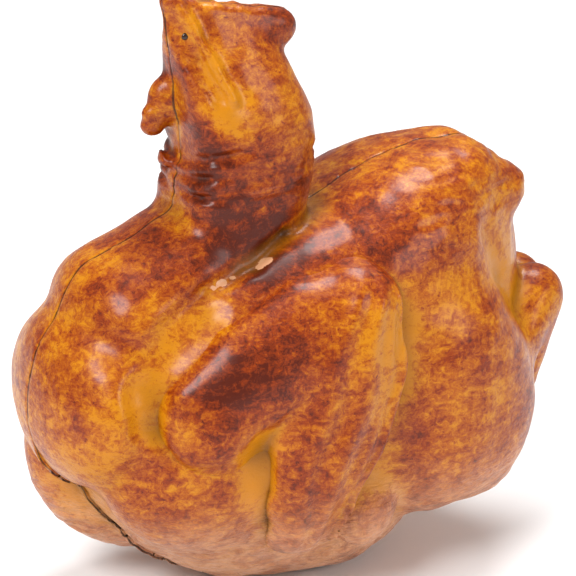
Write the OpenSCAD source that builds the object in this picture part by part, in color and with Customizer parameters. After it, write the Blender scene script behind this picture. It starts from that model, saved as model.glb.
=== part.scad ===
// Rubber roast chicken: a hollow moulded bird with a raised neck, folded wings and tucked legs.
// Millimetres. +Z is up, the bird faces -X, and its left side faces -Y.
// The origin is on the resting plane, under the middle of the overall box.

/* [Skin] */
// Thickness of the moulded rubber skin
wall = 3; // [2:0.5:4]
// Width of the bond line between the left and right mouldings
bond_gap = 0.2; // [0.1:0.1:0.6]
// Points round each cross-section
section_points = 26; // [20:2:40]

/* [Trunk] */
// Half width of the trunk at its widest section
trunk_half_width = 60; // [54:1:64]
// Height of the back above the resting plane
back_height = 177; // [172:1:180]

/* [Neck and head] */
// Height of the bend at the root of the neck
neck_pivot_height = 168; // [166:1:170]
// Height of the bend under the jaw
head_pivot_height = 206; // [204:1:208]
// Radial clearance round each flexing root
flex_gap = 0.5; // [0.3:0.1:0.8]

/* [Wings and legs] */
// Thickness that a wing stands proud of the trunk
wing_rise = 9; // [7:0.5:11]
// Clearance between a wing and the trunk
wing_gap = 0.5; // [0.3:0.1:0.8]
// Bond line between a leg and the trunk
leg_gap = 0.1; // [0.1:0.1:0.4]

/* [Squeaker] */
// Radius of the squeaker barrel in the base
squeaker_r = 11; // [9:0.5:13]
// Height of the squeaker barrel
squeaker_h = 14; // [12:1:16]

/* [Hidden] */
LEFT = -1;
RIGHT = 1;
FRONT = -1;
REAR = 1;
big = 400;
half_length = 125;

roast = [0.72, 0.33, 0.08];
roast_dark = [0.55, 0.2, 0.06];
tape = [0.85, 0.8, 0.68];
plastic = [0.92, 0.92, 0.9];

neck_pivot = [-26, 0, neck_pivot_height];
head_pivot = [-28.5, 0, head_pivot_height];
neck_root_r = 34;
neck_root_half_width = 29;
head_root_r = 28.5;
head_root_half_width = 22;
neck_top = 197;
// Openings below the roots, so that air passes from the trunk into the neck and head
neck_bore_r = 11;
head_bore_r = 9;

// Trunk sections along X: [x, height of the widest level, half width, rise above it, drop below it].
trunk_sections = [
  [-125, 94, 10, 12, 14],
  [-121, 92, 27, 29, 28],
  [-112, 88, 41, 48, 40],
  [-98, 84, 52, 64, 48],
  [-80, 78, 58, 81, 55],
  [-58, 74, 60, 93, 63],
  [-32, 72, 60, 98, 72],
  [-2, 74, 58, 98, 78],
  [26, 82, 54, back_height - 80, 82],
  [52, 94, 48, back_height - 91, 74],
  [74, 102, 41, back_height - 102, 66],
  [90, 108, 30, back_height - 122, 52],
  [101, 109, 18, 36, 36],
  [107, 109, 7, 18, 18]
];
// How much the upper half of a trunk section narrows towards the back.
trunk_pinch = 0.14;

// Neck rings up the column: [front x, front height, back x, back height, half width].
neck_rings = [
  [-57, 158, 4, 158, 24], [-57, 168, 3, 168, 24.5], [-57, 178, 2.5, 178, 24.5],
  [-57.5, 188, 2, 188, 24], [-58, neck_top, 1.5, neck_top, 23.5]
];
head_rings = [
  [-57, 203, 0, 206, 23], [-58, 213, -2, 214, 21], [-59.5, 224, -7, 222, 17.5],
  [-60.5, 234, -11, 229, 13.5], [-61.5, 244, -9, 236, 9], [-62.5, 253, -7, 243, 5],
  [-62.5, 259, -9, 247.5, 2.5]
];
// Below 1, a neck or head ring is fuller than an ellipse.
column_fullness = 0.8;

// Wing limbs down the flank: [x, height, radius in the plane of the flank].
upper_arm = [[-68, 102, 22], [-46, 112, 24], [-20, 125, 23], [0, 137, 17]];
forearm = [[0, 137, 17], [-6, 114, 25], [-14, 88, 25], [-21, 64, 20], [-25, 44, 15]];

// Leg lobes: [x, distance from the middle plane, height, radii along X, Y and Z].
thigh = [[42, 37, 92, 28, 22, 44], [58, 36, 80, 33, 24, 46], [74, 28, 78, 28, 22, 38]];
drumstick = [[80, 26, 84, 24, 19, 28], [99, 15, 95, 17, 13, 18], [112.3, 8, 99, 12.8, 8, 15]];

function stretch(w) = w * trunk_half_width / 60;
function section_angle(k) = 360 * (k + 0.5) / section_points;

// Adds a point half way between neighbours, on a smooth curve through them.
function before(list, i) = i > 0 ? list[i - 1] : 2 * list[0] - list[1];
function after(list, i) = i < len(list) - 2 ? list[i + 2] : 2 * list[i + 1] - list[i];
function smooth(list) = [
  for (i = [0:len(list) - 1]) for (step = [0:(i < len(list) - 1 ? 1 : 0)])
    step == 0 ? list[i]
      : (9 * (list[i] + list[i + 1]) - before(list, i) - after(list, i)) / 16
];

// A ring across X. Its lower part is flattened onto the plane z = inset.
function trunk_ring(s, inset) = [
  for (k = [0:section_points - 1])
    let (a = section_angle(k), half = (sin(a) > 0 ? s[3] : s[4]) - inset)
      [s[0] * (1 - inset / half_length),
       (stretch(s[2]) - inset) * cos(a) * (1 - trunk_pinch * max(0, sin(a))),
       max(inset, s[1] + half * sin(a))]
];

// A ring across a column, tilted so that it passes through its front and back points.
function full(c) = sign(c) * pow(abs(c), column_fullness);
function column_ring(s, inset) =
  let (middle = [s[0] + s[2], 0, s[1] + s[3]] / 2, reach = [s[2] - s[0], 0, s[3] - s[1]] / 2)
    [for (k = [0:section_points - 1]) let (a = section_angle(k))
      middle + reach * (1 - inset / norm(reach)) * full(cos(a))
        + [0, (s[4] - inset) * full(sin(a)), 0]];

// Joins each ring to the next one with a convex segment.
module loft(rings) {
  for (i = [0:len(rings) - 2])
    hull() polyhedron(concat(rings[i], rings[i + 1]), [[for (k = [0:2 * section_points - 1]) k]]);
}

module trunk_form(inset) {
  loft([for (s = smooth(trunk_sections)) if (stretch(s[2]) > 3 * inset + 4) trunk_ring(s, inset)]);
}

// The level of the trunk's flank: its distance from the middle plane at x and height z.
function flank_section(x) =
  let (i = max([for (k = [0:len(trunk_sections) - 2]) if (trunk_sections[k][0] <= x) k]),
       a = trunk_sections[i], b = trunk_sections[i + 1], t = (x - a[0]) / (b[0] - a[0]))
    a * (1 - t) + b * t;
function flank(x, z) =
  let (s = flank_section(x), h = (z - s[1]) / (z > s[1] ? s[3] : s[4]))
    stretch(s[2]) * sqrt(max(0.05, 1 - h * h));

module tail_form() {
  for (side = [LEFT, RIGHT])
    hull() {
      translate([74, side * 9, 163]) scale([1, 0.9, 1]) sphere(17, $fn = 24);
      translate([91, side * 7, 157]) scale([0.95, 0.85, 1.15]) sphere(13, $fn = 24);
    }
}

// A ball that turns about a crosswise axis: round in the X-Z plane, narrower along Y.
module flexing_root(pivot, r, half_width) {
  translate(pivot) rotate([90, 0, 0]) scale([r, r, half_width]) sphere(1, $fn = 32);
}

// The air passage through the underside of a flexing root.
module bore(pivot, r) {
  translate([pivot[0], 0, pivot[2] - 40]) cylinder(30, r = r, $fn = 32);
}

// One side of a form, set back from the middle plane by half the bond gap.
module half(side) {
  intersection() {
    children();
    translate([-big / 2, side == LEFT ? -big - bond_gap / 2 : bond_gap / 2, -1]) cube(big);
  }
}

// A strip along the middle plane, ahead of or behind the level x.
module strip(half_thickness, end, x) {
  intersection() {
    children();
    translate([end == FRONT ? x - big : x, -half_thickness, -1])
      cube([big, 2 * half_thickness, big]);
  }
}

module trunk_shell(side) {
  color(roast) half(side) difference() {
    union() {
      trunk_form(0);
      tail_form();
    }
    trunk_form(wall);
    flexing_root(neck_pivot, neck_root_r + flex_gap, neck_root_half_width + flex_gap);
    translate([0, 0, -1]) cylinder(wall + 3, r = squeaker_r + 0.1, $fn = 48);
  }
}

module trunk_strip(end) {
  color(tape) strip(6, end, 0) difference() {
    trunk_form(wall + 0.1);
    trunk_form(wall + 1.1);
    flexing_root(neck_pivot, neck_root_r + 1, neck_root_half_width + 1);
    cylinder(16, r = squeaker_r + 4, $fn = 48);
  }
}

module neck_form(inset) {
  loft([for (s = smooth(neck_rings)) column_ring(s, inset)]);
  flexing_root(neck_pivot, neck_root_r - inset, neck_root_half_width - inset);
}

// What is taken out of the neck: its hollow, carried on through the open top.
module neck_hollow(inset) {
  rise = [0, 6, 0, 6, 0];
  loft([for (s = smooth(neck_rings)) column_ring(s + rise, inset)]);
  flexing_root(neck_pivot, neck_root_r - inset, neck_root_half_width - inset);
}

module neck_shell(side) {
  color(roast) half(side) difference() {
    neck_form(0);
    neck_hollow(wall);
    flexing_root(head_pivot, head_root_r + flex_gap, head_root_half_width + flex_gap);
    bore(neck_pivot, neck_bore_r);
  }
}

module neck_strip(end) {
  color(tape) strip(5, end, neck_pivot[0]) difference() {
    neck_hollow(wall + 0.1);
    neck_hollow(wall + 1.1);
    translate([-big / 2, -big / 2, 176]) cube([big, big, 100]);
    bore(neck_pivot, neck_bore_r + 1);
  }
}

// The head is hollow only where it is wider than a few walls.
module head_form(inset) {
  loft([for (s = smooth(head_rings)) if (inset == 0 || s[4] > 9) column_ring(s, inset)]);
  flexing_root(head_pivot, head_root_r - inset, head_root_half_width - inset);
}

// The crest lobe at the back of the head, and the wattle at the throat.
module head_lobes() {
  hull() {
    translate([-15, 0, 239]) scale([11, 6.5, 9]) sphere(1, $fn = 24);
    translate([-30, 0, 244]) scale([8, 4, 7]) sphere(1, $fn = 20);
  }
  hull() {
    translate([-63.5, 0, 213]) scale([6, 4.5, 7]) sphere(1, $fn = 20);
    translate([-57, 0, 222]) scale([5, 5, 9]) sphere(1, $fn = 16);
  }
}

module head_shell(side) {
  color(roast) half(side) difference() {
    union() {
      head_form(0);
      head_lobes();
    }
    head_form(wall);
    bore(head_pivot, head_bore_r);
  }
}

module head_strip(end) {
  color(tape) strip(4, end, head_pivot[0]) difference() {
    head_form(wall + 0.1);
    head_form(wall + 1.1);
    bore(head_pivot, head_bore_r + 1);
  }
}

// A flattened lobe lying on the flank.
module flank_lobe(side, lobe, grow) {
  translate([lobe[0], side * flank(lobe[0], lobe[1]), lobe[1]])
    scale([lobe[2] + grow, wing_rise * (0.4 + lobe[2] / 40) + grow, lobe[2] + grow])
      sphere(1, $fn = 24);
}

module limb(side, lobes, grow) {
  for (i = [0:len(lobes) - 2])
    hull() {
      flank_lobe(side, lobes[i], grow);
      flank_lobe(side, lobes[i + 1], grow);
    }
}

module wing_form(side, grow) {
  limb(side, upper_arm, grow);
  limb(side, forearm, grow);
}

module wing(side) {
  color(roast_dark) difference() {
    wing_form(side, 0);
    trunk_form(-wing_gap);
  }
}

module leg_lobe(side, lobe, inset, facets) {
  translate([lobe[0], side * lobe[1], lobe[2]])
    scale([lobe[3] - inset, lobe[4] - inset, lobe[5] - inset]) sphere(1, $fn = facets);
}

module leg_form(side, inset, facets) {
  for (lobes = [thigh, drumstick]) for (i = [0:len(lobes) - 2])
    hull() {
      leg_lobe(side, lobes[i], inset, facets);
      leg_lobe(side, lobes[i + 1], inset, facets);
    }
}

module leg(side) {
  color(roast_dark) half(side) difference() {
    leg_form(side, 0, 28);
    leg_form(side, wall + 0.5, 16);
    trunk_form(-leg_gap);
    wing_form(side, wing_gap + 1);
  }
}

module squeaker_cup() {
  color(plastic) difference() {
    union() {
      translate([0, 0, 0.6]) cylinder(squeaker_h - 0.6, r = squeaker_r, $fn = 48);
      translate([0, 0, wall + 0.1]) cylinder(1.5, r = squeaker_r + 3, $fn = 48);
    }
    translate([0, 0, -1]) cylinder(squeaker_h - 0.5, r = squeaker_r - 1.5, $fn = 48);
    cylinder(squeaker_h + 1, r = 4.2, $fn = 32);
  }
}

module squeaker_grille() {
  color(plastic) difference() {
    translate([0, 0, 0.6]) cylinder(1.5, r = squeaker_r - 1.6, $fn = 48);
    for (a = [0:60:300])
      rotate(a) translate([5.5, 0, -1]) cylinder(5, r = 1.3, $fn = 16);
    translate([0, 0, -1]) cylinder(5, r = 1.3, $fn = 16);
  }
}

module squeaker_reed_tube() {
  color(roast_dark) difference() {
    union() {
      translate([0, 0, squeaker_h - 9]) cylinder(11, r = 4.1, $fn = 32);
      translate([0, 0, squeaker_h - 3.1]) cylinder(1.5, r = 6.5, $fn = 32);
    }
    translate([0, 0, squeaker_h - 7]) cylinder(20, r = 2.8, $fn = 32);
    translate([-0.6, -2.1, squeaker_h - 10]) cube([1.2, 4.2, 6]);
  }
}

module squeaker_reed() {
  color(tape) translate([-0.2, -1.7, squeaker_h - 9]) cube([0.4, 3.4, 9]);
}

trunk_shell(LEFT);  // trunk_left_shell
trunk_shell(RIGHT);  // trunk_right_shell
trunk_strip(FRONT);  // trunk_front_strip
trunk_strip(REAR);  // trunk_rear_strip
neck_shell(LEFT);  // neck_left_shell
neck_shell(RIGHT);  // neck_right_shell
neck_strip(FRONT);  // neck_front_strip
neck_strip(REAR);  // neck_rear_strip
head_shell(LEFT);  // head_left_shell
head_shell(RIGHT);  // head_right_shell
head_strip(FRONT);  // head_front_strip
head_strip(REAR);  // head_rear_strip
wing(LEFT);  // wing_left
wing(RIGHT);  // wing_right
leg(LEFT);  // leg_left
leg(RIGHT);  // leg_right
squeaker_cup();
squeaker_grille();
squeaker_reed_tube();
squeaker_reed();
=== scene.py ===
"""Looks for the rubber roast chicken: one sculpted skin, cut into the moving pieces, then painted.

The sculpture is a distance field in millimetres: negative inside, positive outside.
"""

import math

import bmesh
import bpy
import numpy as np
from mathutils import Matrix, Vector


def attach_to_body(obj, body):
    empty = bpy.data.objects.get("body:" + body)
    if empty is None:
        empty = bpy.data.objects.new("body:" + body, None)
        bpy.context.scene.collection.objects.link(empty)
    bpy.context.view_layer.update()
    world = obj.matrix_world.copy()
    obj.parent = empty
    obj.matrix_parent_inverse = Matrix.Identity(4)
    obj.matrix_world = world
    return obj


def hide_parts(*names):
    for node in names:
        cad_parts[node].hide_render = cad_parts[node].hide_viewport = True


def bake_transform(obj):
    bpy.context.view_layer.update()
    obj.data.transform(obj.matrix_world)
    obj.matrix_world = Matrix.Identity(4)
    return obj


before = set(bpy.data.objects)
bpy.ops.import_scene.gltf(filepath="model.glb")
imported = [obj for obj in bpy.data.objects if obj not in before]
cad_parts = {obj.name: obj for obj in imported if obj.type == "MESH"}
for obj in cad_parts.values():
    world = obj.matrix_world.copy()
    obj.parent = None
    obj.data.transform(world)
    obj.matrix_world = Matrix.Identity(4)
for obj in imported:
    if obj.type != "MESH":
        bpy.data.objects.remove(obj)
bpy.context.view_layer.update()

# The shapes and these values are in millimetres.
MM = 0.001
GRID = 1.25  # spacing of the field's samples
MARGIN = 18  # how far outside its shapes a field is worked out
LEFT, RIGHT = -1, 1
SIDES = ((LEFT, "left"), (RIGHT, "right"))

SKIN = 3.0  # thickness of the moulded skin
WING_DEPTH = 2.6  # how far the wing's inner side lies below the skin around it
SQUEAKER_HOLE = 11.3  # radius of the hole in the base
NECK_CUT = 197.0  # height at which the neck's skin meets the head's
COLUMN_FOOT = 156.0  # height above which the skin can belong to the neck
NEAR_LINE = 0.2  # a vertex this near the parting line counts as on it
OFF_SEAM = 1.0  # a distance from the parting line at which its paint has ended
TUCK = 7.0  # least depth of the bond strips under the surface
EYE_RADIUS = 1.5
FILLED = 0.6  # points up to this far outside the surface count as solid when hollows are looked for
BLUR_RADIUS = {"hollow": 12.0, "crease": 3.6}  # for finding broad and tight hollows


# ---------------------------------------------------------------- distance fields


def smooth_min(a, b, k):
    """The smaller of a and b, rounded over a width of k."""
    h = np.clip(0.5 + 0.5 * (b - a) / k, 0, 1)
    return b + (a - b) * h - k * h * (1 - h)


def smooth_max(a, b, k):
    """The larger of a and b, rounded over a width of k."""
    return -smooth_min(-a, -b, k)


def ramp(x, low, high):
    """0 below low, 1 above high, smooth between."""
    t = np.clip((x - low) / (high - low), 0, 1)
    return t * t * (3 - 2 * t)


class Ball:
    """An ellipsoid."""

    def __init__(self, centre, radii):
        self.centre, self.radii = np.array(centre, float), np.array(radii, float)
        self.low, self.high = self.centre - self.radii, self.centre + self.radii

    def distance(self, x, y, z):
        offsets = [p - c for p, c in zip((x, y, z), self.centre)]
        k0 = np.sqrt(sum((o / r) ** 2 for o, r in zip(offsets, self.radii)))
        k1 = np.sqrt(sum((o / (r * r)) ** 2 for o, r in zip(offsets, self.radii)))
        return k0 * (k0 - 1) / np.maximum(k1, 1e-6)


class Rod:
    """A tapered rod with round ends. Its section is flattened along Y by the factor flat."""

    def __init__(self, a, b, ra, rb, flat=1.0):
        self.a, self.b = np.array(a, float), np.array(b, float)
        self.ra, self.rb, self.flat = ra, rb, flat
        reach = max(ra, rb)
        self.low = np.minimum(self.a, self.b) - reach
        self.high = np.maximum(self.a, self.b) + reach

    def distance(self, x, y, z):
        scale = (1, 1 / self.flat, 1)
        p = [(v - c) * s for v, c, s in zip((x, y, z), self.a, scale)]
        span = [(e - c) * s for e, c, s in zip(self.b, self.a, scale)]
        t = np.clip(sum(o * s for o, s in zip(p, span)) / sum(s * s for s in span), 0, 1)
        gap = np.sqrt(sum((o - t * s) ** 2 for o, s in zip(p, span)))
        return gap - (self.ra + (self.rb - self.ra) * t)


class Sculpture:
    """Samples of a distance field on a grid, built up by adding and cutting shapes."""

    def __init__(self, low, high, step):
        self.low, self.step = np.array(low, float), step
        self.axes = [np.arange(a, b + step, step) for a, b in zip(low, high)]
        self.d = np.full([len(a) for a in self.axes], MARGIN, np.float32)

    def part(self, low, high, margin, mirrored):
        """The slices of the grid near a box, and the coordinates in them."""
        slices = []
        for k, axis in enumerate(self.axes):
            a, b = low[k] - margin, high[k] + margin
            if k == 1 and mirrored:
                a, b = -max(abs(a), abs(b)), max(abs(a), abs(b))
            start, end = np.searchsorted(axis, a), np.searchsorted(axis, b)
            slices.append(slice(max(0, start), max(start + 1, end)))
        x, y, z = [axis[s].astype(np.float32) for axis, s in zip(self.axes, slices)]
        y = np.abs(y) if mirrored else y
        return tuple(slices), x[:, None, None], y[None, :, None], z[None, None, :]

    def add(self, shape, blend=6.0, mirrored=True):
        s, x, y, z = self.part(shape.low, shape.high, MARGIN, mirrored)
        self.d[s] = smooth_min(self.d[s], shape.distance(x, y, z), blend)

    def cut(self, shape, blend=3.0, mirrored=True):
        s, x, y, z = self.part(shape.low, shape.high, blend + 2 * self.step, mirrored)
        self.d[s] = smooth_max(self.d[s], -shape.distance(x, y, z), blend)

    def groove(self, points, radius, blend=2.0, mirrored=True):
        """Cuts a channel along a line of [x, y, z] points."""
        for a, b in zip(points, points[1:]):
            self.cut(Rod(a, b, radius, radius), blend, mirrored)

    def sample(self, points, values=None):
        """The field, or other values on its grid, at an array of points."""
        values = self.d if values is None else values
        p = (points - self.low) / self.step
        i = np.clip(p.astype(int), 0, np.array(values.shape) - 2)
        f = np.clip(p - i, 0, 1)
        total = np.zeros(len(points))
        for corner in np.ndindex(2, 2, 2):
            weight = np.prod(np.where(np.array(corner) == 1, f, 1 - f), axis=1)
            total += weight * values[tuple((i + corner).T)]
        return total


def surface_net(field, low, step):
    """Vertices and quads of the surface where the field is zero."""
    inside = field < 0
    count = np.zeros([n - 1 for n in field.shape], np.int8)
    for i, j, k in np.ndindex(2, 2, 2):
        count += inside[i : i + count.shape[0], j : j + count.shape[1], k : k + count.shape[2]]
    cells = np.argwhere((count > 0) & (count < 8))
    index = np.full(count.shape, -1, np.int32)
    index[tuple(cells.T)] = np.arange(len(cells))
    corners = [np.array(c) for c in np.ndindex(2, 2, 2)]
    values = {tuple(c): field[tuple((cells + c).T)].astype(float) for c in corners}
    total, crossings = np.zeros((len(cells), 3)), np.zeros(len(cells))
    for a in corners:
        for axis in range(3):
            if a[axis]:
                continue
            b = a.copy()
            b[axis] = 1
            va, vb = values[tuple(a)], values[tuple(b)]
            crossed = (va < 0) != (vb < 0)
            t = np.where(crossed, va / np.where(crossed, va - vb, 1), 0)
            point = a + np.outer(t, b - a)
            total[crossed] += point[crossed]
            crossings += crossed
    vertices = low + (cells + total / crossings[:, None]) * step
    quads = []
    for axis in range(3):
        u, v = (axis + 1) % 3, (axis + 2) % 3
        first = [slice(None)] * 3
        second = [slice(None)] * 3
        first[axis], second[axis] = slice(0, -1), slice(1, None)
        a, b = inside[tuple(first)], inside[tuple(second)]
        for leaving in (True, False):
            edges = np.argwhere((a != b) & (a == leaving))
            edges = edges[(edges[:, u] > 0) & (edges[:, v] > 0)]
            edges = edges[(edges[:, u] < index.shape[u]) & (edges[:, v] < index.shape[v])]
            ring = []
            for du, dv in ((-1, -1), (0, -1), (0, 0), (-1, 0)):
                cell = edges.copy()
                cell[:, u] += du
                cell[:, v] += dv
                ring.append(index[tuple(cell.T)])
            ring = np.array(ring).T
            quads.append(ring if leaving else ring[:, ::-1])
    return vertices, np.concatenate(quads)


def topology(vertices, faces):
    """Vertex normals, and the edges as pairs of vertices."""
    mesh = bpy.data.meshes.new("scratch")
    mesh.from_pydata(vertices.tolist(), [], faces)
    normals = np.zeros(len(vertices) * 3, np.float32)
    mesh.vertex_normals.foreach_get("vector", normals)
    edges = np.zeros(len(mesh.edges) * 2, np.int32)
    mesh.edges.foreach_get("vertices", edges)
    bpy.data.meshes.remove(mesh)
    return normals.reshape(-1, 3), edges.reshape(-1, 2)


def smoothed(values, edges, times, amount=0.5):
    """Values averaged with those of their neighbours along the edges, several times."""
    values = values.astype(float)
    degree = np.maximum(np.bincount(edges.ravel(), minlength=len(values)), 1)
    for _ in range(times):
        total = np.zeros_like(values)
        for column, v in enumerate(values.T):
            total[:, column] = np.bincount(edges[:, 0], v[edges[:, 1]], len(v))
            total[:, column] += np.bincount(edges[:, 1], v[edges[:, 0]], len(v))
        values += amount * (total / degree[:, None] - values)
    return values


def box_blur(values, radius, step):
    """The mean over a cube of that radius, done along one axis at a time."""
    n = max(1, round(radius / step))
    for axis in range(3):
        padded = np.pad(values, [(n + 1, n) if k == axis else (0, 0) for k in range(3)], mode="edge")
        total = np.cumsum(padded, axis=axis, dtype=np.float32)
        size = values.shape[axis]
        upper = np.take(total, range(2 * n + 1, 2 * n + 1 + size), axis=axis)
        lower = np.take(total, range(size), axis=axis)
        values = (upper - lower) / (2 * n + 1)
    return values


# ---------------------------------------------------------------- the bird's body
# A shape is mirrored across the middle plane unless it is added with mirrored=False.

BODY_LOW, BODY_HIGH = (-134, -76, -6), (134, 76, 268)


class Loft:
    """A long form: its section is a rounded rectangle that changes along its length.

    Each row is [place along the length, low edge, high edge, half-width]. A fullness of 2 makes
    the section an ellipse, and more makes it squarer. The low and high edges have their own.
    """

    def __init__(self, rows, along, fullness_low, fullness_high):
        self.rows, self.along = np.array(rows, float), along
        self.fullness_low, self.fullness_high = fullness_low, fullness_high
        place, low_edge, high_edge, width = self.rows.T
        span = [(low_edge.min(), high_edge.max()), (place.min(), place.max())]
        (xa, xb), (za, zb) = span if along == "z" else span[::-1]
        self.low = np.array([xa, -width.max(), za])
        self.high = np.array([xb, width.max(), zb])

    def distance(self, x, y, z):
        place, across = (z, x) if self.along == "z" else (x, z)
        low_edge, high_edge, width = [np.interp(place, self.rows[:, 0], c) for c in self.rows.T[1:]]
        middle, depth = (low_edge + high_edge) / 2, (high_edge - low_edge) / 2
        p = np.where(across < middle, self.fullness_low, self.fullness_high)
        k = (np.abs((across - middle) / depth) ** p + np.abs(y / width) ** p) ** (1 / p)
        side = (k - 1) * np.minimum(depth, width) * 1.1
        ends = np.maximum(self.rows[0, 0] - place, place - self.rows[-1, 0])
        return smooth_max(side, ends, 6)


TRUNK = Loft(  # along X: [x, underside, back, half-width]
    [
        [-108, 72, 118, 26],
        [-98, 50, 130, 38],
        [-80, 26, 142, 47],
        [-60, 11, 149, 52],
        [-40, 1, 154, 55],
        [-15, -1, 160, 56],
        [5, -1, 164, 56],
        [18, 2, 170, 55],
        [32, 11, 176, 52],
        [46, 20, 179.5, 48],
        [60, 27, 180.5, 43],
        [74, 34, 178, 33],
        [88, 46, 168, 23],
        [98, 74, 141, 12],
        [102, 95, 125, 7],
    ],
    "x",
    1.7,
    3.2,
)
COLUMN = Loft(  # the neck and head, along Z: [z, front, back, half-width]
    [
        [150, -56, -14, 24],
        [158, -57, -7, 24.5],
        [166, -58.5, -1.5, 25],
        [176, -58, 1, 25],
        [184, -57, 2, 24.5],
        [196, -55, 2, 24],
        [205, -56, 1, 23],
        [213, -57, -2, 21.5],
        [222, -57.5, -6, 18.5],
        [230, -58.5, -10, 15],
        [238, -60, -13, 11],
        [246, -61.5, -13, 7.5],
        [254, -62.5, -12, 5],
        [264, -63, -12, 4],
    ],
    "z",
    4.5,
    2.3,
)


def head_top(x, z):
    """Height above the ragged, slanted cut across the top of the head, which peaks at the front."""
    edge = 259 - 0.23 * (x + 64) + 2 * np.exp(-(((x + 60) / 5) ** 2))
    edge = edge + 0.5 * np.sin(x / 1.7) + 0.35 * np.sin(x / 0.8)
    return (z - edge) * 0.97


LEG = [
    Ball((42, 33, 84), (42, 28, 56)),  # thigh
    Ball((66, 26, 70), (30, 24, 44)),  # its lower rear
    Rod((46, 20, 160), (54, 28, 141), 10, 11),  # its rear edge, from the back down to the hock
    Rod((54, 28, 141), (64, 28, 119), 11, 11),
    Rod((64, 28, 119), (72, 25, 104), 11, 11),
    Rod((72, 25, 104), (87, 19, 76), 11, 11),
    Rod((84, 22, 84), (108, 8, 104), 14, 13.5),  # hock
    Rod((108, 8, 100), (100, 11, 70), 12.5, 9.5),  # the leg's end, below the hock
]
LEG_BLENDS = [8, 10, 5, 5, 5, 5, 5, 4]
BROW = [(-58, 2.5, 257), (-51.5, 8, 246), (-45.5, 14.5, 231), (-40, 19.5, 219)]


def field_of(shapes):
    """The union of a few mirrored shapes, on the body's grid."""
    s = Sculpture(BODY_LOW, BODY_HIGH, GRID)
    for shape in shapes:
        s.add(shape, 1)
    return s.d


def sculpt_body():
    """The bird's field, with fields of some of its parts kept beside it for sorting the skin."""
    s = Sculpture(BODY_LOW, BODY_HIGH, GRID)
    x, _, z = np.meshgrid(*s.axes, indexing="ij", sparse=True)
    s.add(TRUNK, 1)
    s.add(Ball((-99, 0, 97), (26, 46, 38)), 8)  # crop
    s.add(Ball((-58, -24, 72), (46, 31, 41)), 6, mirrored=False)  # breast lobes, the right one fuller
    s.add(Ball((-57, 24, 66), (58, 31, 55)), 3, mirrored=False)
    s.add(Ball((4, 8, 44), (48, 32, 42)), 8)  # belly
    s.torso = s.d.copy()
    for shape, blend in zip(LEG, LEG_BLENDS):
        s.add(shape, blend)
    s.add(Ball((4, 46, 42), (15, 10, 16)), 5)  # knuckle under the wing tip
    s.add(Rod((70, 9, 164), (88, 8, 156), 16, 13), 5)  # tail
    s.trunk = s.d.copy()
    s.add(Rod((-34, 0, 158), (-58, 0, 146), 21, 22, 1.25), 4)  # neck lying on the breast
    s.add(Rod((-58, 0, 146), (-84, 0, 133), 22, 24, 1.45), 4)
    s.add(Rod((-84, 0, 132), (-96, 0, 114), 23, 22, 1.4), 5)
    s.add(COLUMN, 5)
    s.d = np.where(z > 170, smooth_max(s.d, head_top(x, z), 3), s.d).astype(np.float32)
    s.add(Ball((-14, 0, 239), (11, 7, 9)), 3)  # crest lobe
    s.add(Rod((-18, 0, 243), (-36, 0, 247), 5.5, 4), 3)
    s.add(Ball((-59, 7, 213), (6, 6, 10)), 4, mirrored=False)  # throat wattle
    s.add(Ball((-63, 8, 203.5), (5, 4.5, 4.5)), 2, mirrored=False)
    s.add(Ball((-64.5, 7, 209), (3.5, 3.5, 3)), 2, mirrored=False)
    s.add(Ball((-57.5, 8, 189), (3.5, 5, 5)), 2, mirrored=False)
    for a, b in zip(BROW, BROW[1:]):
        s.add(Rod(a, b, 3.2, 3.4), 1.5)
    s.groove([(-51, 7, 256), (-46, 12, 243.5), (-40, 19, 230), (-36, 23, 218)], 3, 3)  # behind the brow
    s.groove([(-62, 5, 250), (-54, 12, 235), (-47, 19, 219)], 2, 4)  # in front of the brow
    s.groove([(-20, 22, 160), (-38, 31, 153), (-60, 33, 146), (-80, 37, 135)], 2, 4)  # beside the neck
    s.groove([(-66, 45, 143), (-82, 49, 132), (-93, 51, 116), (-92, 54, 98)], 12, 4)  # beside the crop
    s.groove([(-50, 62, 90), (-52, 63, 60)], 8.5, 4)  # hollow in front of the forearm
    s.groove([(72, 39, 150), (82, 36, 128), (94, 34, 106)], 7.5, 4)  # hollow behind the thigh
    s.groove([(-58, 3, 192), (-53, 21, 195), (-36, 25, 197)], 2.4, 1.5)  # three creases under the jaw
    s.groove([(-58, 8, 185), (-50, 24, 188), (-36, 26, 183)], 1.5, 1.5)
    s.groove([(-59, 5, 178), (-52, 24, 180), (-40, 26, 175)], 0.8, 2)
    s.d = smooth_max(s.d, -z.astype(np.float32), 2)  # flat base
    s.cut(Rod((0, 0, -20), (0, 0, 5), SQUEAKER_HOLE, SQUEAKER_HOLE), 0.5)
    # Dividing by the slope brings the field nearer to a true distance.
    slope = np.sqrt(sum(g * g for g in np.gradient(s.d, s.step)))
    s.d /= np.maximum(slope, 0.5)
    s.column = field_of([COLUMN])
    s.leg = field_of(LEG)
    return s


# ---------------------------------------------------------------- the wings
# Each limb is a line of [x, height, radius] points on the flank.

UPPER_ARM = [(-64, 98, 23), (-46, 110, 26), (-20, 123, 25), (0, 134, 18)]
FOREARM = [(0, 136, 16), (-9, 112, 26), (-18, 84, 26), (-24, 58, 20), (-26, 40, 14)]
WING_LOW, WING_HIGH = (-106, -80, 8), (34, -10, 168)


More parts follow.
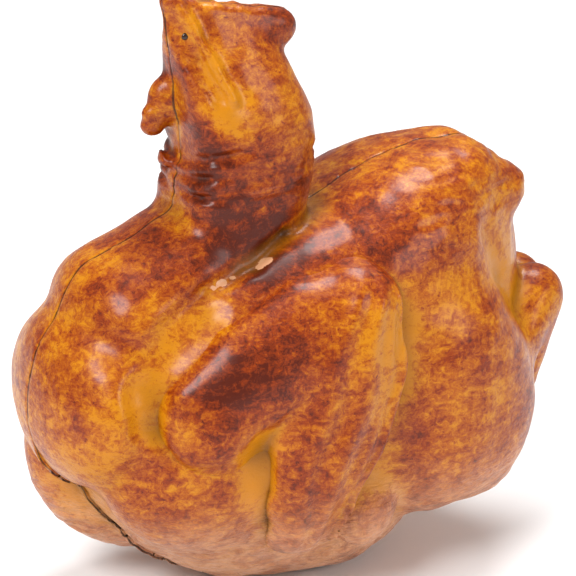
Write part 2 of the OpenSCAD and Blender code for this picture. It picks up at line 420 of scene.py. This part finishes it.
def limb_height(x, z, limb, rise, soft_side=0, rolled_side=0, folds=0.0):
    """How far a limb stands off the flank at x and z: round in section, below zero outside it.

    Its edge is steep, but gentle on the soft side, and has a thin rolled lip on the rolled side.
    A side is 1 for the limb's left, seen along it from its first point, -1 for its right, 0 for neither.
    Folds run along it, as deep as given.
    """
    height = np.full(np.broadcast(x, z).shape, -12.0)
    for (xa, za, ra), (xb, zb, rb) in zip(limb, limb[1:]):
        run, climb = xb - xa, zb - za
        t = np.clip(((x - xa) * run + (z - za) * climb) / (run**2 + climb**2), 0, 1)
        dx, dz, radius = x - xa - t * run, z - za - t * climb, ra + (rb - ra) * t
        gap = np.hypot(dx, dz) / radius
        left = (run * dz - climb * dx) / np.hypot(run, climb) / radius
        edge = 0.45 + 1.1 * ramp(left * soft_side, 0.1, 0.7)
        dome = rise * np.clip(1 - gap**2, 0, 1) ** edge - 60 * np.clip(gap - 1, 0, 0.2)
        lip = 2.6 * np.exp(-(((gap - 0.92) / 0.08) ** 2)) - 1.4 * np.exp(-(((gap - 0.74) / 0.1) ** 2))
        dome += lip * ramp(left * rolled_side, 0.3, 0.8)
        dome += folds * np.sin(left * 10 + 0.8 * np.sin(z / 9)) * np.clip(1 - gap**2, 0, 1)
        height = np.maximum(height, dome)
    return height


def sculpt_wing(body):
    """The left wing: a shell over the flank, as thick as its limbs stand proud."""
    s = Sculpture(WING_LOW, WING_HIGH, GRID)
    x, y, z = np.meshgrid(*s.axes, indexing="ij", sparse=True)
    points = np.stack(np.broadcast_arrays(x, y, z), -1).reshape(-1, 3)
    trunk = body.sample(points).reshape(s.d.shape)
    arm = limb_height(x, z, UPPER_ARM, 10, soft_side=-1)
    fore = limb_height(x, z, FOREARM, 12, rolled_side=1, folds=1.1)
    s.d = np.maximum(trunk - smooth_max(arm, fore, 3), -WING_DEPTH - trunk).astype(np.float32)
    return s


# ---------------------------------------------------------------- skin detail


def lattice_noise(points, size, seed):
    """Smooth noise from -1 to 1. size is the distance between its lattice points, along X, Y and Z."""
    p = points / np.array(size, float) + 1000
    cell = np.floor(p).astype(np.int64)
    f = p - cell
    f = f * f * (3 - 2 * f)
    total = np.zeros(len(points))
    for corner in np.ndindex(2, 2, 2):
        c = cell + corner
        mixed = c[:, 0] * 73856093 ^ c[:, 1] * 19349663 ^ c[:, 2] * 83492791 ^ seed * 2654435761
        mixed = (mixed ^ (mixed >> 13)) * 1274126177
        value = ((mixed ^ (mixed >> 16)) & 0xFFFF) / 32767.5 - 1
        total += value * np.prod(np.where(np.array(corner) == 1, f, 1 - f), axis=1)
    return total


def skin_relief(points):
    """How far the skin stands out at each point: soft lumps everywhere, ripples in some places."""
    x, _, z = points.T
    lumps = 0.45 * lattice_noise(points, (17, 17, 17), 1) + 0.25 * lattice_noise(points, (7, 7, 7), 2)
    ripples = lattice_noise(points, (11, 11, 2.8), 3) + 0.6 * lattice_noise(points, (7, 7, 1.9), 4)
    under = 1 - ramp(z, 22, 62)
    back = ramp(x, 20, 50) * ramp(z, 140, 160) * 0.7
    throat = ramp(z, 168, 178) * (1 - ramp(z, 192, 200)) * 0.8
    return lumps + 0.7 * ripples * np.maximum(np.maximum(under, back), throat)


def breast_crease(x, z):
    """1 along the open crease between the breast lobes, and 0 elsewhere on the parting line."""
    return (1 - ramp(z, 70, 82)) * (1 - ramp(x, -55, -38))


def seam_offset(x, z):
    """How far the parting line strays from the middle plane."""
    stray = 0.5 * np.sin(x / 9.0) + 0.4 * np.sin(z / 7.0 + 1) + 0.3 * np.sin((x + z) / 3.7)
    return stray + breast_crease(x, z) * (1.6 * np.sin(x / 5.3) + 0.5 * np.sin(x / 2.1))


def seam_depth(points):
    """How deep the parting line is: a fine line, but an open crease under the breast."""
    x, _, z = points.T
    return 0.5 + 0.7 * breast_crease(x, z)


def lap(points, side):
    """How far the skin stands out beside the crease, where the right breast lobe laps over the left."""
    x, y, z = points.T
    beside = np.exp(-np.abs(y - seam_offset(x, z)) / 6)
    return breast_crease(x, z) * beside * (1.7 if side == RIGHT else -0.5)


# ---------------------------------------------------------------- meshes


def new_piece(name, vertices, faces, masks, normals):
    """A painted mesh. The masks and the place at rest go along as attributes for the paint."""
    mesh = bpy.data.meshes.new(name)
    mesh.from_pydata((vertices * MM).tolist(), [], [list(map(int, f)) for f in faces])
    rest = mesh.attributes.new("rest", "FLOAT_VECTOR", "POINT")
    rest.data.foreach_set("vector", (vertices * MM).astype(np.float32).ravel())
    for key, values in masks.items():
        layer = mesh.attributes.new(key, "FLOAT", "POINT")
        layer.data.foreach_set("value", values.astype(np.float32))
    mesh.polygons.foreach_set("use_smooth", [True] * len(mesh.polygons))
    mesh.normals_split_custom_set_from_vertices(normals.tolist())
    piece = bpy.data.objects.new(name, mesh)
    bpy.context.scene.collection.objects.link(piece)
    return piece


def cut_along_seam(vertices, quads):
    """Cuts the faces along the parting line.

    Returns the vertices, the faces, and which of the vertices lie on the line.
    """
    mesh = bpy.data.meshes.new("scratch")
    stray = seam_offset(vertices[:, 0], vertices[:, 2])
    mesh.from_pydata((vertices - np.outer(stray, [0, 1, 0])).tolist(), [], quads.tolist())
    bm = bmesh.new()
    bm.from_mesh(mesh)
    parts = bm.verts[:] + bm.edges[:] + bm.faces[:]
    bmesh.ops.bisect_plane(bm, geom=parts, dist=NEAR_LINE, plane_co=(0, 0, 0), plane_no=(0, 1, 0))
    bm.verts.index_update()
    points = np.array([v.co for v in bm.verts])
    faces = [[v.index for v in f.verts] for f in bm.faces]
    bm.free()
    bpy.data.meshes.remove(mesh)
    on_line = np.abs(points[:, 1]) <= NEAR_LINE
    points[:, 1] += seam_offset(points[:, 0], points[:, 2])
    return points, faces, on_line


def fill_with_wings(body, wing):
    """The body's field with both wings added, so that creases beside a wing count as creases."""
    whole = body.d.copy()
    x, y, z = body.axes
    xs = (x > WING_LOW[0]) & (x < WING_HIGH[0])
    zs = (z > WING_LOW[2]) & (z < WING_HIGH[2])
    ys = (np.abs(y) > -WING_HIGH[1]) & (np.abs(y) < -WING_LOW[1])
    grid = np.meshgrid(x[xs], -np.abs(y[ys]), z[zs], indexing="ij")
    points = np.stack(grid, -1).reshape(-1, 3)
    block = np.ix_(np.flatnonzero(xs), np.flatnonzero(ys), np.flatnonzero(zs))
    whole[block] = np.minimum(whole[block], wing.sample(points).reshape(whole[block].shape))
    return whole


def with_rim(points, faces, values, normals, on_rim, raised, side):
    """Adds a strip of faces that turns in from the free edges on the rim.

    It goes deeper where the skin is raised, so that it closes the gap below.
    """
    pairs = np.concatenate([np.stack([f, np.roll(f, -1)], 1) for f in faces])
    both = np.sort(pairs, axis=1)
    _, index, count = np.unique(both, axis=0, return_index=True, return_counts=True)
    free = pairs[index[count == 1]]
    free = free[on_rim[free].all(axis=1)]
    rim = np.unique(free)
    outer, inner = np.full(len(points), -1), np.full(len(points), -1)
    outer[rim] = len(points) + np.arange(len(rim))
    inner[rim] = outer[rim] + len(rim)
    faces = list(faces) + [[outer[b], outer[a], inner[a], inner[b]] for a, b in free]
    depth = SKIN + 2 * np.maximum(raised[rim], 0)
    points = np.concatenate([points, points[rim], points[rim] - normals[rim] * depth[:, None]])
    values = {key: np.concatenate([value, value[rim], value[rim]]) for key, value in values.items()}
    values["seam"][-2 * len(rim) : -len(rim)] = OFF_SEAM
    facing = np.tile([0.0, -side, 0.0], (2 * len(rim), 1))
    return points, faces, values, np.concatenate([normals, facing])


GLAZE_AND_SHADE_BLOTS = [  # centre, radius, and how much more or less glaze than elsewhere, on both sides; some blots are painted shade or a painted highlight
    ((-24, -20, 172), 18, 0.3),  # neck
    ((-50, -24, 160), 18, 0.3),
    ((-75, -24, 152), 16, 0.2),
    ((-52, -22, 184), 17, 0.5),  # throat
    ((-44, -21, 213), 9, -0.8),  # cheek
    ((-16, -16, 214), 13, -0.4),
    ((-52, -8, 247), 5, -0.9),  # brow ridge painted lighter as a highlight, and painted shadow in the groove behind it
    ((-46, -14, 232), 6, -0.9),
    ((-41, -19, 220), 5, -0.7),
    ((-45, -11, 247), 4, 0.9),
    ((-38, -18, 231), 5, 0.9),
    ((-58, -9, 228), 7, 0.5),
    ((-56, -18, 208), 8, 0.7),  # jaw: painted shade along the crease under the jaw
    ((-50, -22, 198), 7, 0.7),
    ((-28, -24, 197), 7, 0.4),
    ((-16, -4, 243), 12, 0.3),  # crest
    ((5, -35, 163), 30, 0.35),  # back
    ((-32, -30, 151), 15, 1.0),  # trough beside the neck: painted shade
    ((-57, -44, 142), 10, -0.5),
    ((-79, -42, 138), 13, -0.7),
    ((-96, -46, 113), 16, -0.7),
    ((-93, -48, 80), 11, 0.35),
    ((-34, -62, 122), 24, 0.6),  # wing
    ((-62, -56, 110), 20, 0.5),
    ((7, -60, 124), 16, -0.75),
    ((0, -62, 94), 12, -0.4),
    ((-51, -55, 84), 7, -1.0),  # hollow in front of the forearm
    ((-52, -55, 69), 7, -1.0),
    ((-30, -66, 70), 14, 0.35),
    ((-112, -26, 84), 15, -0.5),  # breast
    ((-95, -10, 48), 14, -0.9),
    ((-113, -34, 104), 14, 0.15),
    ((62, -40, 112), 17, 0.3),  # thigh
    ((20, -58, 78), 14, 0.35),
    ((33, -50, 130), 17, -0.3),
    ((8, -50, 57), 8, -0.8),
    ((80, -22, 128), 17, -0.5),  # behind the thigh
]
BARE_SPOTS = [  # centre and radius of the spots where the paint has come off
    ((-32, -29, 152), 2.6),
    ((-35, -30, 151), 1.8),
    ((-47, -30, 148.5), 1.2),
    ((-52, -30, 147), 1.8),
    ((-56, -31, 146), 1.2),
]

body = sculpt_body()
wing = sculpt_wing(body)
solid = (fill_with_wings(body, wing) < FILLED).astype(np.float32)
fullness = {name: box_blur(solid, radius, GRID) for name, radius in BLUR_RADIUS.items()}


def paint_masks(points):
    """How hollow the surface is round each point, how thick the glaze is with blots of painted shade and
    highlight added, and where it has come off.
    """
    masks = {name: body.sample(points, values) - 0.5 for name, values in fullness.items()}
    masks["glaze_and_shade"] = np.zeros(len(points))
    sided = points * [1, 0, 1] - np.abs(points) * [0, 1, 0]
    for centre, radius, amount in GLAZE_AND_SHADE_BLOTS:
        away = np.linalg.norm(sided - centre, axis=1) / radius
        masks["glaze_and_shade"] += amount * np.exp(-(away**2))
    masks["bare"] = np.zeros(len(points))
    for centre, radius in BARE_SPOTS:
        away = np.linalg.norm((points - centre) * [0.6, 1, 1], axis=1) / radius
        masks["bare"] = np.maximum(masks["bare"], np.exp(-(away**2)))
    return masks


def rough_surface(sculpture, relief):
    """The sculpture's surface, smoothed, with that share of the skin's relief: vertices and quads."""
    points, quads = surface_net(sculpture.d, sculpture.low, GRID)
    normals, edges = topology(points, quads.tolist())
    points = smoothed(points, edges, 2)
    return points + normals * (relief * skin_relief(points))[:, None], quads


class Skin:
    """The whole body's surface, parted along the middle, with what is known about each vertex."""

    def __init__(self, body):
        points, quads = rough_surface(body, 1)
        points[:, 2] = np.maximum(points[:, 2], 0)
        points, self.faces, self.on_seam = cut_along_seam(points, quads)
        normals, _ = topology(points, self.faces)
        points[self.on_seam] -= normals[self.on_seam] * seam_depth(points[self.on_seam])[:, None]
        points[:, 2] = np.maximum(points[:, 2], 0)
        self.points = points
        self.normals, _ = topology(points, self.faces)
        self.masks = paint_masks(points)
        self.masks["seam"] = points[:, 1] - seam_offset(points[:, 0], points[:, 2])
        self.masks["seam"][self.on_seam] = 0

    def piece(self, name, keep, side):
        """A piece made of the chosen faces. Its edge along the seam is turned in, to show thickness."""
        chosen = [f for f, k in zip(self.faces, keep) if k]
        used = np.unique(np.concatenate([np.array(f) for f in chosen]))
        place = np.full(len(self.points), -1)
        place[used] = np.arange(len(used))
        chosen = [place[f] for f in chosen]
        normals = self.normals[used]
        raised = lap(self.points[used], side)
        points = self.points[used] + normals * raised[:, None]
        points[:, 2] = np.maximum(points[:, 2], 0)
        values = {key: mask[used] for key, mask in self.masks.items()}
        rimmed = with_rim(points, chosen, values, normals, self.on_seam[used], raised, side)
        return new_piece(name, *rimmed)


def sort_faces(skin, body):
    """Which of the skin's faces are in each region, and how far right of the seam every face is."""
    middles = np.array([skin.points[f].mean(0) for f in skin.faces])
    side_of = middles[:, 1] - seam_offset(middles[:, 0], middles[:, 2])
    heights = middles[:, 2]
    is_column = body.sample(middles, body.column) < body.sample(middles, body.trunk)
    is_column &= heights > COLUMN_FOOT
    is_leg = ~is_column & (body.sample(middles, body.leg) < body.sample(middles, body.torso))
    regions = {
        "head_skin": is_column & (heights > NECK_CUT),
        "neck_skin": is_column & (heights <= NECK_CUT),
        "leg_skin": is_leg,
        "trunk_skin": ~is_column & ~is_leg,
    }
    return regions, side_of


STANDS_FOR = {
    "head_skin": "head_{}_shell",
    "neck_skin": "neck_{}_shell",
    "leg_skin": "leg_{}",
    "trunk_skin": "trunk_{}_shell",
}


def attach(piece, part):
    """Head and neck pieces keep their place baked into the mesh. The rest rides on the trunk."""
    if part == "head":
        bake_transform(piece)
    elif part == "neck":
        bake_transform(piece)
    else:
        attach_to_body(piece, "trunk")


skin = Skin(body)
regions, side_of = sort_faces(skin, body)
painted = []
for side, suffix in SIDES:
    for region, chosen in regions.items():
        keep = chosen & (side_of * side > 0)
        piece = skin.piece(f"{region}_{suffix}", keep, side)
        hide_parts(STANDS_FOR[region].format(suffix))
        painted.append(piece)
        attach(piece, region.split("_")[0])


def build_wing(side, suffix):
    """A wing's skin, sculpted for the left side and mirrored for the right."""
    points, quads = rough_surface(wing, 0.5)
    wing_masks = paint_masks(points)
    wing_masks["seam"] = np.full(len(points), OFF_SEAM)
    if side == RIGHT:
        points = points * [1, -1, 1]
        quads = quads[:, ::-1]
    normals, _ = topology(points, quads.tolist())
    piece = new_piece(f"wing_skin_{suffix}", points, quads.tolist(), wing_masks, normals)
    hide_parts(f"wing_{suffix}")
    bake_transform(piece)
    return piece


painted += [build_wing(side, suffix) for side, suffix in SIDES]


def build_eye(side, suffix):
    """A small glossy bead set in the side of the head."""
    mesh = bpy.data.meshes.new(f"eye_{suffix}")
    bm = bmesh.new()
    bmesh.ops.create_icosphere(bm, subdivisions=3, radius=1)
    for v in bm.verts:
        v.co.y *= 0.6 + 0.1 * math.cos(3 * v.co.x)
        v.co.x *= 1.2 - 0.2 * v.co.z
    bm.to_mesh(mesh)
    bm.free()
    mesh.polygons.foreach_set("use_smooth", [True] * len(mesh.polygons))
    eye = bpy.data.objects.new(mesh.name, mesh)
    eye.scale = (EYE_RADIUS * MM,) * 3
    outward = np.array([[-55.3, side * y, 243.4] for y in np.arange(0, 20, 0.1)])
    eye.location = outward[np.argmax(body.sample(outward) > 0)] * MM  # where it leaves the skin
    bpy.context.scene.collection.objects.link(eye)
    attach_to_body(eye, "head")
    return eye


eyes = [build_eye(side, suffix) for side, suffix in SIDES]


def tuck_strip(name):
    """A bond strip like its CAD node, pushed in where it would show through the skin."""
    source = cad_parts[name]
    bm = bmesh.new()
    bm.from_mesh(source.data)
    bm.transform(source.matrix_world)
    for _ in range(3):
        long_edges = [e for e in bm.edges if e.calc_length() > 4 * MM]
        bmesh.ops.subdivide_edges(bm, edges=long_edges, cuts=1, use_grid_fill=False)
        bmesh.ops.triangulate(bm, faces=bm.faces)
    points = np.array([v.co for v in bm.verts]) / MM
    form = body.trunk if name.startswith("trunk") else body.column
    for _ in range(16):  # each pass moves a point by 2 mm at most
        depth = body.sample(points, form)
        slope = np.stack([body.sample(points + d, form) - depth for d in np.eye(3)], -1)
        slope /= np.maximum(np.linalg.norm(slope, axis=1), 0.2)[:, None]
        points -= slope * np.clip(depth + TUCK, 0, 2)[:, None]
    for v, point in zip(bm.verts, points):
        v.co = point * MM
    mesh = bpy.data.meshes.new(name + "_tucked")
    bm.to_mesh(mesh)
    bm.free()
    piece = bpy.data.objects.new(mesh.name, mesh)
    bpy.context.scene.collection.objects.link(piece)
    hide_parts(name)
    attach(piece, name.split("_")[0])
    return piece


strips = [tuck_strip(name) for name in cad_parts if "strip" in name]


# ---------------------------------------------------------------- materials


class Nodes:
    """Short names for building a material's nodes."""

    def __init__(self, name):
        self.material = bpy.data.materials.new(name)
        self.material.use_nodes = True
        self.tree = self.material.node_tree
        self.shader = self.tree.nodes["Principled BSDF"]

    def node(self, kind, inputs=None, **settings):
        node = self.tree.nodes.new(kind)
        for key, value in settings.items():
            setattr(node, key, value)
        for key, value in (inputs or {}).items():
            self.put(node.inputs[key], value)
        return node

    def put(self, socket, value):
        if isinstance(value, bpy.types.NodeSocket):
            self.tree.links.new(value, socket)
        else:
            socket.default_value = value

    def math(self, operation, a, b=0.0, clamp=False):
        node = self.node("ShaderNodeMath", {0: a, 1: b}, operation=operation, use_clamp=clamp)
        return node.outputs[0]

    def attribute(self, name):
        """A number kept on the mesh."""
        return self.node("ShaderNodeAttribute", attribute_name=name).outputs["Fac"]

    def position(self, scale=(1, 1, 1)):
        """The place at rest, in metres, stretched by scale."""
        place = self.node("ShaderNodeAttribute", attribute_name="rest").outputs["Vector"]
        return self.node("ShaderNodeMapping", {"Vector": place, "Scale": scale}).outputs[0]

    def noise(self, scale, detail=4.0, roughness=0.55, stretch=(1, 1, 1), distortion=0.0):
        inputs = {"Vector": self.position(stretch), "Scale": scale, "Detail": detail}
        inputs |= {"Roughness": roughness, "Distortion": distortion}
        return self.node("ShaderNodeTexNoise", inputs).outputs["Fac"]

    def remap(self, value, low, high, to_low=0.0, to_high=1.0):
        inputs = {"Value": value, "From Min": low, "From Max": high, "To Min": to_low, "To Max": to_high}
        return self.node("ShaderNodeMapRange", inputs, interpolation_type="SMOOTHSTEP").outputs[0]

    def colours(self, value, stops):
        ramp_node = self.node("ShaderNodeValToRGB", {"Fac": value})
        elements = ramp_node.color_ramp.elements
        while len(elements) < len(stops):
            elements.new(0.5)
        for element, (position, colour) in zip(elements, stops):
            element.position = position
            element.color = (*colour, 1)
        return ramp_node.outputs["Color"]

    def mix(self, factor, a, b):
        """Colour a, turning to b as factor goes from 0 to 1. Sockets 6, 7 and 2 are the colour ones."""
        node = self.node("ShaderNodeMix", data_type="RGBA")
        self.put(node.inputs["Factor"], factor)
        for socket, value in ((node.inputs[6], a), (node.inputs[7], b)):
            self.put(socket, (*value, 1) if isinstance(value, tuple) else value)
        return node.outputs[2]


YELLOW = (0.56, 0.20, 0.002)
AMBER = (0.42, 0.10, 0.001)
RUSSET = (0.26, 0.032, 0.001)
UMBER = (0.085, 0.009, 0.001)
# painted shade, mixed into the broad hollows
HOLLOW_SHADE_OLIVE = (0.20, 0.075, 0.002)
# painted shade for the tight creases, and the dark colour of the parting line
CREASE_SHADE_AND_SEAM_DARK = (0.03, 0.006, 0.002)
# painted reflection of the pale floor, laid on the underside
FLOOR_REFLECTION_PINK = (0.78, 0.42, 0.25)
BARE_RUBBER = (0.72, 0.36, 0.2)


def roast_skin():
    """Yellow rubber, brushed over with red-brown glaze that misses the hollows, with painted shade in
    the hollows and creases and a painted floor reflection on the underside.
    """
    m = Nodes("roast_skin")
    hollow, crease, seam = (m.attribute(k) for k in ("hollow", "crease", "seam"))
    glaze_and_shade_blots, bare = m.attribute("glaze_and_shade"), m.attribute("bare")

    # The glaze: broad patches, streaks and flecks, thinner in the hollows.
    patches = m.noise(22, 3, 0.5)
    mottle = m.noise(75, 8, 0.75, distortion=0.6)
    brush = m.noise(60, 6, 0.75, stretch=(1, 1, 2.5), distortion=1.0)
    flecks = m.noise(300, 5, 0.75, distortion=0.8)
    specks = m.noise(620, 4, 0.7, distortion=1.2)
    glaze_and_shade = m.math("ADD", 0.5, m.math("MULTIPLY", m.math("SUBTRACT", patches, 0.5), 0.9))
    for layer, weight in ((mottle, 1.2), (brush, 1.2), (flecks, 1.4)):
        glaze_and_shade = m.math("ADD", glaze_and_shade, m.math("MULTIPLY", m.math("SUBTRACT", layer, 0.5), weight))
    # Besides glaze, the blots add painted shade in the neck trough, jaw crease and brow groove, and a
    # painted highlight on the brow ridge.
    glaze_and_shade = m.math("ADD", glaze_and_shade, m.math("MULTIPLY", glaze_and_shade_blots, 0.6))
    glaze_and_shade = m.math("SUBTRACT", glaze_and_shade, m.remap(hollow, 0.0, 0.14, 0, 0.25), clamp=True)
    glaze_and_shade = m.math("ADD", glaze_and_shade, m.remap(specks, 0.56, 0.7, 0, 0.3), clamp=True)
    stops = [(0.0, YELLOW), (0.22, YELLOW), (0.45, AMBER), (0.7, RUSSET), (1.0, UMBER)]
    paint = m.colours(glaze_and_shade, stops)

    # Spots of bare rubber, and a painted reflection of the pale floor on the underside.
    patchy = m.math("ADD", bare, m.math("MULTIPLY", m.math("SUBTRACT", flecks, 0.5), 0.8))
    paint = m.mix(m.remap(patchy, 0.45, 0.55), paint, BARE_RUBBER)
    height = m.node("ShaderNodeSeparateXYZ", {0: m.position()}).outputs["Z"]
    # Painted reflection: the underside is lightened towards pink, most strongly at the base.
    floor_reflection = m.math("MULTIPLY", m.remap(height, 0.015, 0.07, 0.9, 0), m.remap(mottle, 0.35, 0.65, 1, 0.4))
    paint = m.mix(floor_reflection, paint, FLOOR_REFLECTION_PINK)

    # Painted shade: darker olive in the hollows and near black in the creases; and the parting line's
    # own dark colour. Skin that a wing covers at rest gets no painted shade and stays yellow.
    seen = m.remap(crease, 0.38, 0.46, 1, 0)
    paint = m.mix(m.math("MULTIPLY", m.remap(hollow, 0.06, 0.24, 0, 0.7), seen), paint, HOLLOW_SHADE_OLIVE)
    line = m.remap(m.math("ABSOLUTE", seam), 0.15, 0.7, 0.85, 0)
    crease_shade_and_seam = m.math("MAXIMUM", m.math("MULTIPLY", m.remap(crease, 0.18, 0.36, 0, 0.85), seen), line)
    m.put(m.shader.inputs["Base Color"], m.mix(crease_shade_and_seam, paint, CREASE_SHADE_AND_SEAM_DARK))

    # Pores and wrinkles, with deeper ripples on the underside.
    pores = m.noise(600, 5, 0.6)
    wrinkles = m.noise(130, 5, 0.65, stretch=(1, 1, 3))
    relief = m.math("ADD", m.math("MULTIPLY", pores, 0.3), m.math("MULTIPLY", wrinkles, 0.7))
    relief = m.math("ADD", relief, m.math("MULTIPLY", glaze_and_shade, 0.2))
    ripples = m.noise(170, 2, 0.5, stretch=(1, 1, 3), distortion=0.6)
    relief = m.math("ADD", relief, m.math("MULTIPLY", ripples, m.remap(height, 0.02, 0.07, 6, 0)))
    bump = m.node("ShaderNodeBump", {"Height": relief, "Strength": 0.6, "Distance": 0.0013})
    m.put(m.shader.inputs["Normal"], bump.outputs[0])

    m.put(m.shader.inputs["Roughness"], m.remap(mottle, 0.3, 0.7, 0.3, 0.45))
    m.shader.inputs["Specular IOR Level"].default_value = 0.12
    m.shader.inputs["Coat Weight"].default_value = 0.35
    m.shader.inputs["Coat Roughness"].default_value = 0.24
    return m.material


def plain(name, colour, roughness, grain, depth):
    """A single colour with a fine, slightly uneven grain. Depth is the grain's height in metres."""
    m = Nodes(name)
    shade = m.noise(grain, 4, 0.6)
    darker = tuple(0.8 * c for c in colour)
    m.put(m.shader.inputs["Base Color"], m.mix(m.remap(shade, 0.3, 0.7), colour, darker))
    m.put(m.shader.inputs["Roughness"], m.remap(shade, 0.3, 0.7, roughness, roughness + 0.12))
    bump = m.node("ShaderNodeBump", {"Height": shade, "Strength": 0.3, "Distance": depth})
    m.put(m.shader.inputs["Normal"], bump.outputs[0])
    return m.material


skin_material = roast_skin()
for piece in painted:
    piece.data.materials.append(skin_material)

strip_material = plain("bond_strip", (0.55, 0.42, 0.25), 0.55, 300, 0.0003)
plastic = plain("squeaker_plastic", (0.75, 0.75, 0.7), 0.4, 900, 0.0001)
reed_film = plain("reed_film", (0.6, 0.5, 0.3), 0.3, 900, 0.0001)
eye_gloss = plain("eye_gloss", (0.03, 0.012, 0.006), 0.08, 2000, 0.00002)
for eye in eyes:
    eye.data.materials.append(eye_gloss)
for strip in strips:
    strip.data.materials.append(strip_material)
for name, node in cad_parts.items():
    if name.startswith("squeaker"):
        node.data.materials.clear()
        node.data.materials.append(reed_film if name == "squeaker_reed" else plastic)


# ---------------------------------------------------------------- floor, light and camera


def build_floor():
    """A wide pale floor for the bird to stand on."""
    bpy.ops.mesh.primitive_plane_add(size=12, location=(0, 0, 0))
    floor = bpy.context.object
    floor.name = "floor"
    m = Nodes("pale_floor")
    m.shader.inputs["Base Color"].default_value = (0.9, 0.9, 0.9, 1)
    m.shader.inputs["Roughness"].default_value = 0.9
    floor.data.materials.append(m.material)


LAMPS = {  # place, and power in watts
    "key": ((-1.1, -0.6, 1.3), 25),
    "top": ((0.4, 0.3, 1.6), 22),
    "fill": ((0.9, -1.3, 0.7), 8),
}
LAMP_SIZE = 0.8
LAMP_TARGET = Vector((0, 0, 0.1))


def build_light(name, location, power):
    """A round lamp, turned towards the middle of the bird."""
    data = bpy.data.lights.new(name, "AREA")
    data.energy, data.size, data.shape = power, LAMP_SIZE, "DISK"
    lamp = bpy.data.objects.new(name, data)
    lamp.location = location
    lamp.rotation_euler = (LAMP_TARGET - Vector(location)).to_track_quat("-Z", "Y").to_euler()
    bpy.context.scene.collection.objects.link(lamp)


def build_world():
    """An even white light from all around."""
    world = bpy.data.worlds.new("studio")
    bpy.context.scene.world = world
    world.use_nodes = True
    background = world.node_tree.nodes["Background"]
    background.inputs["Color"].default_value = (1, 1, 1, 1)
    background.inputs["Strength"].default_value = 0.35


SENSOR_WIDTH = 36
FIELD_OF_VIEW = math.radians(10.55)
AZIMUTH, ELEVATION, DISTANCE = math.radians(-28), math.radians(22), 1.3
AIM = Vector((-0.0025, 0.007, 0.1222))


def build_camera():
    """A camera ahead of the bird and to its left, a little above it."""
    data = bpy.data.cameras.new("camera")
    data.sensor_width = SENSOR_WIDTH
    data.lens = SENSOR_WIDTH / (2 * math.tan(FIELD_OF_VIEW / 2))
    camera = bpy.data.objects.new("camera", data)
    back = Vector((
        math.sin(AZIMUTH) * math.cos(ELEVATION),
        -math.cos(AZIMUTH) * math.cos(ELEVATION),
        math.sin(ELEVATION),
    ))
    camera.location = AIM + back * DISTANCE
    camera.rotation_euler = (-back).to_track_quat("-Z", "Y").to_euler()
    bpy.context.scene.collection.objects.link(camera)
    bpy.context.scene.camera = camera


bpy.context.scene.view_settings.view_transform = "Standard"
build_floor()
build_world()
for name, (location, power) in LAMPS.items():
    build_light(name, location, power)
build_camera()
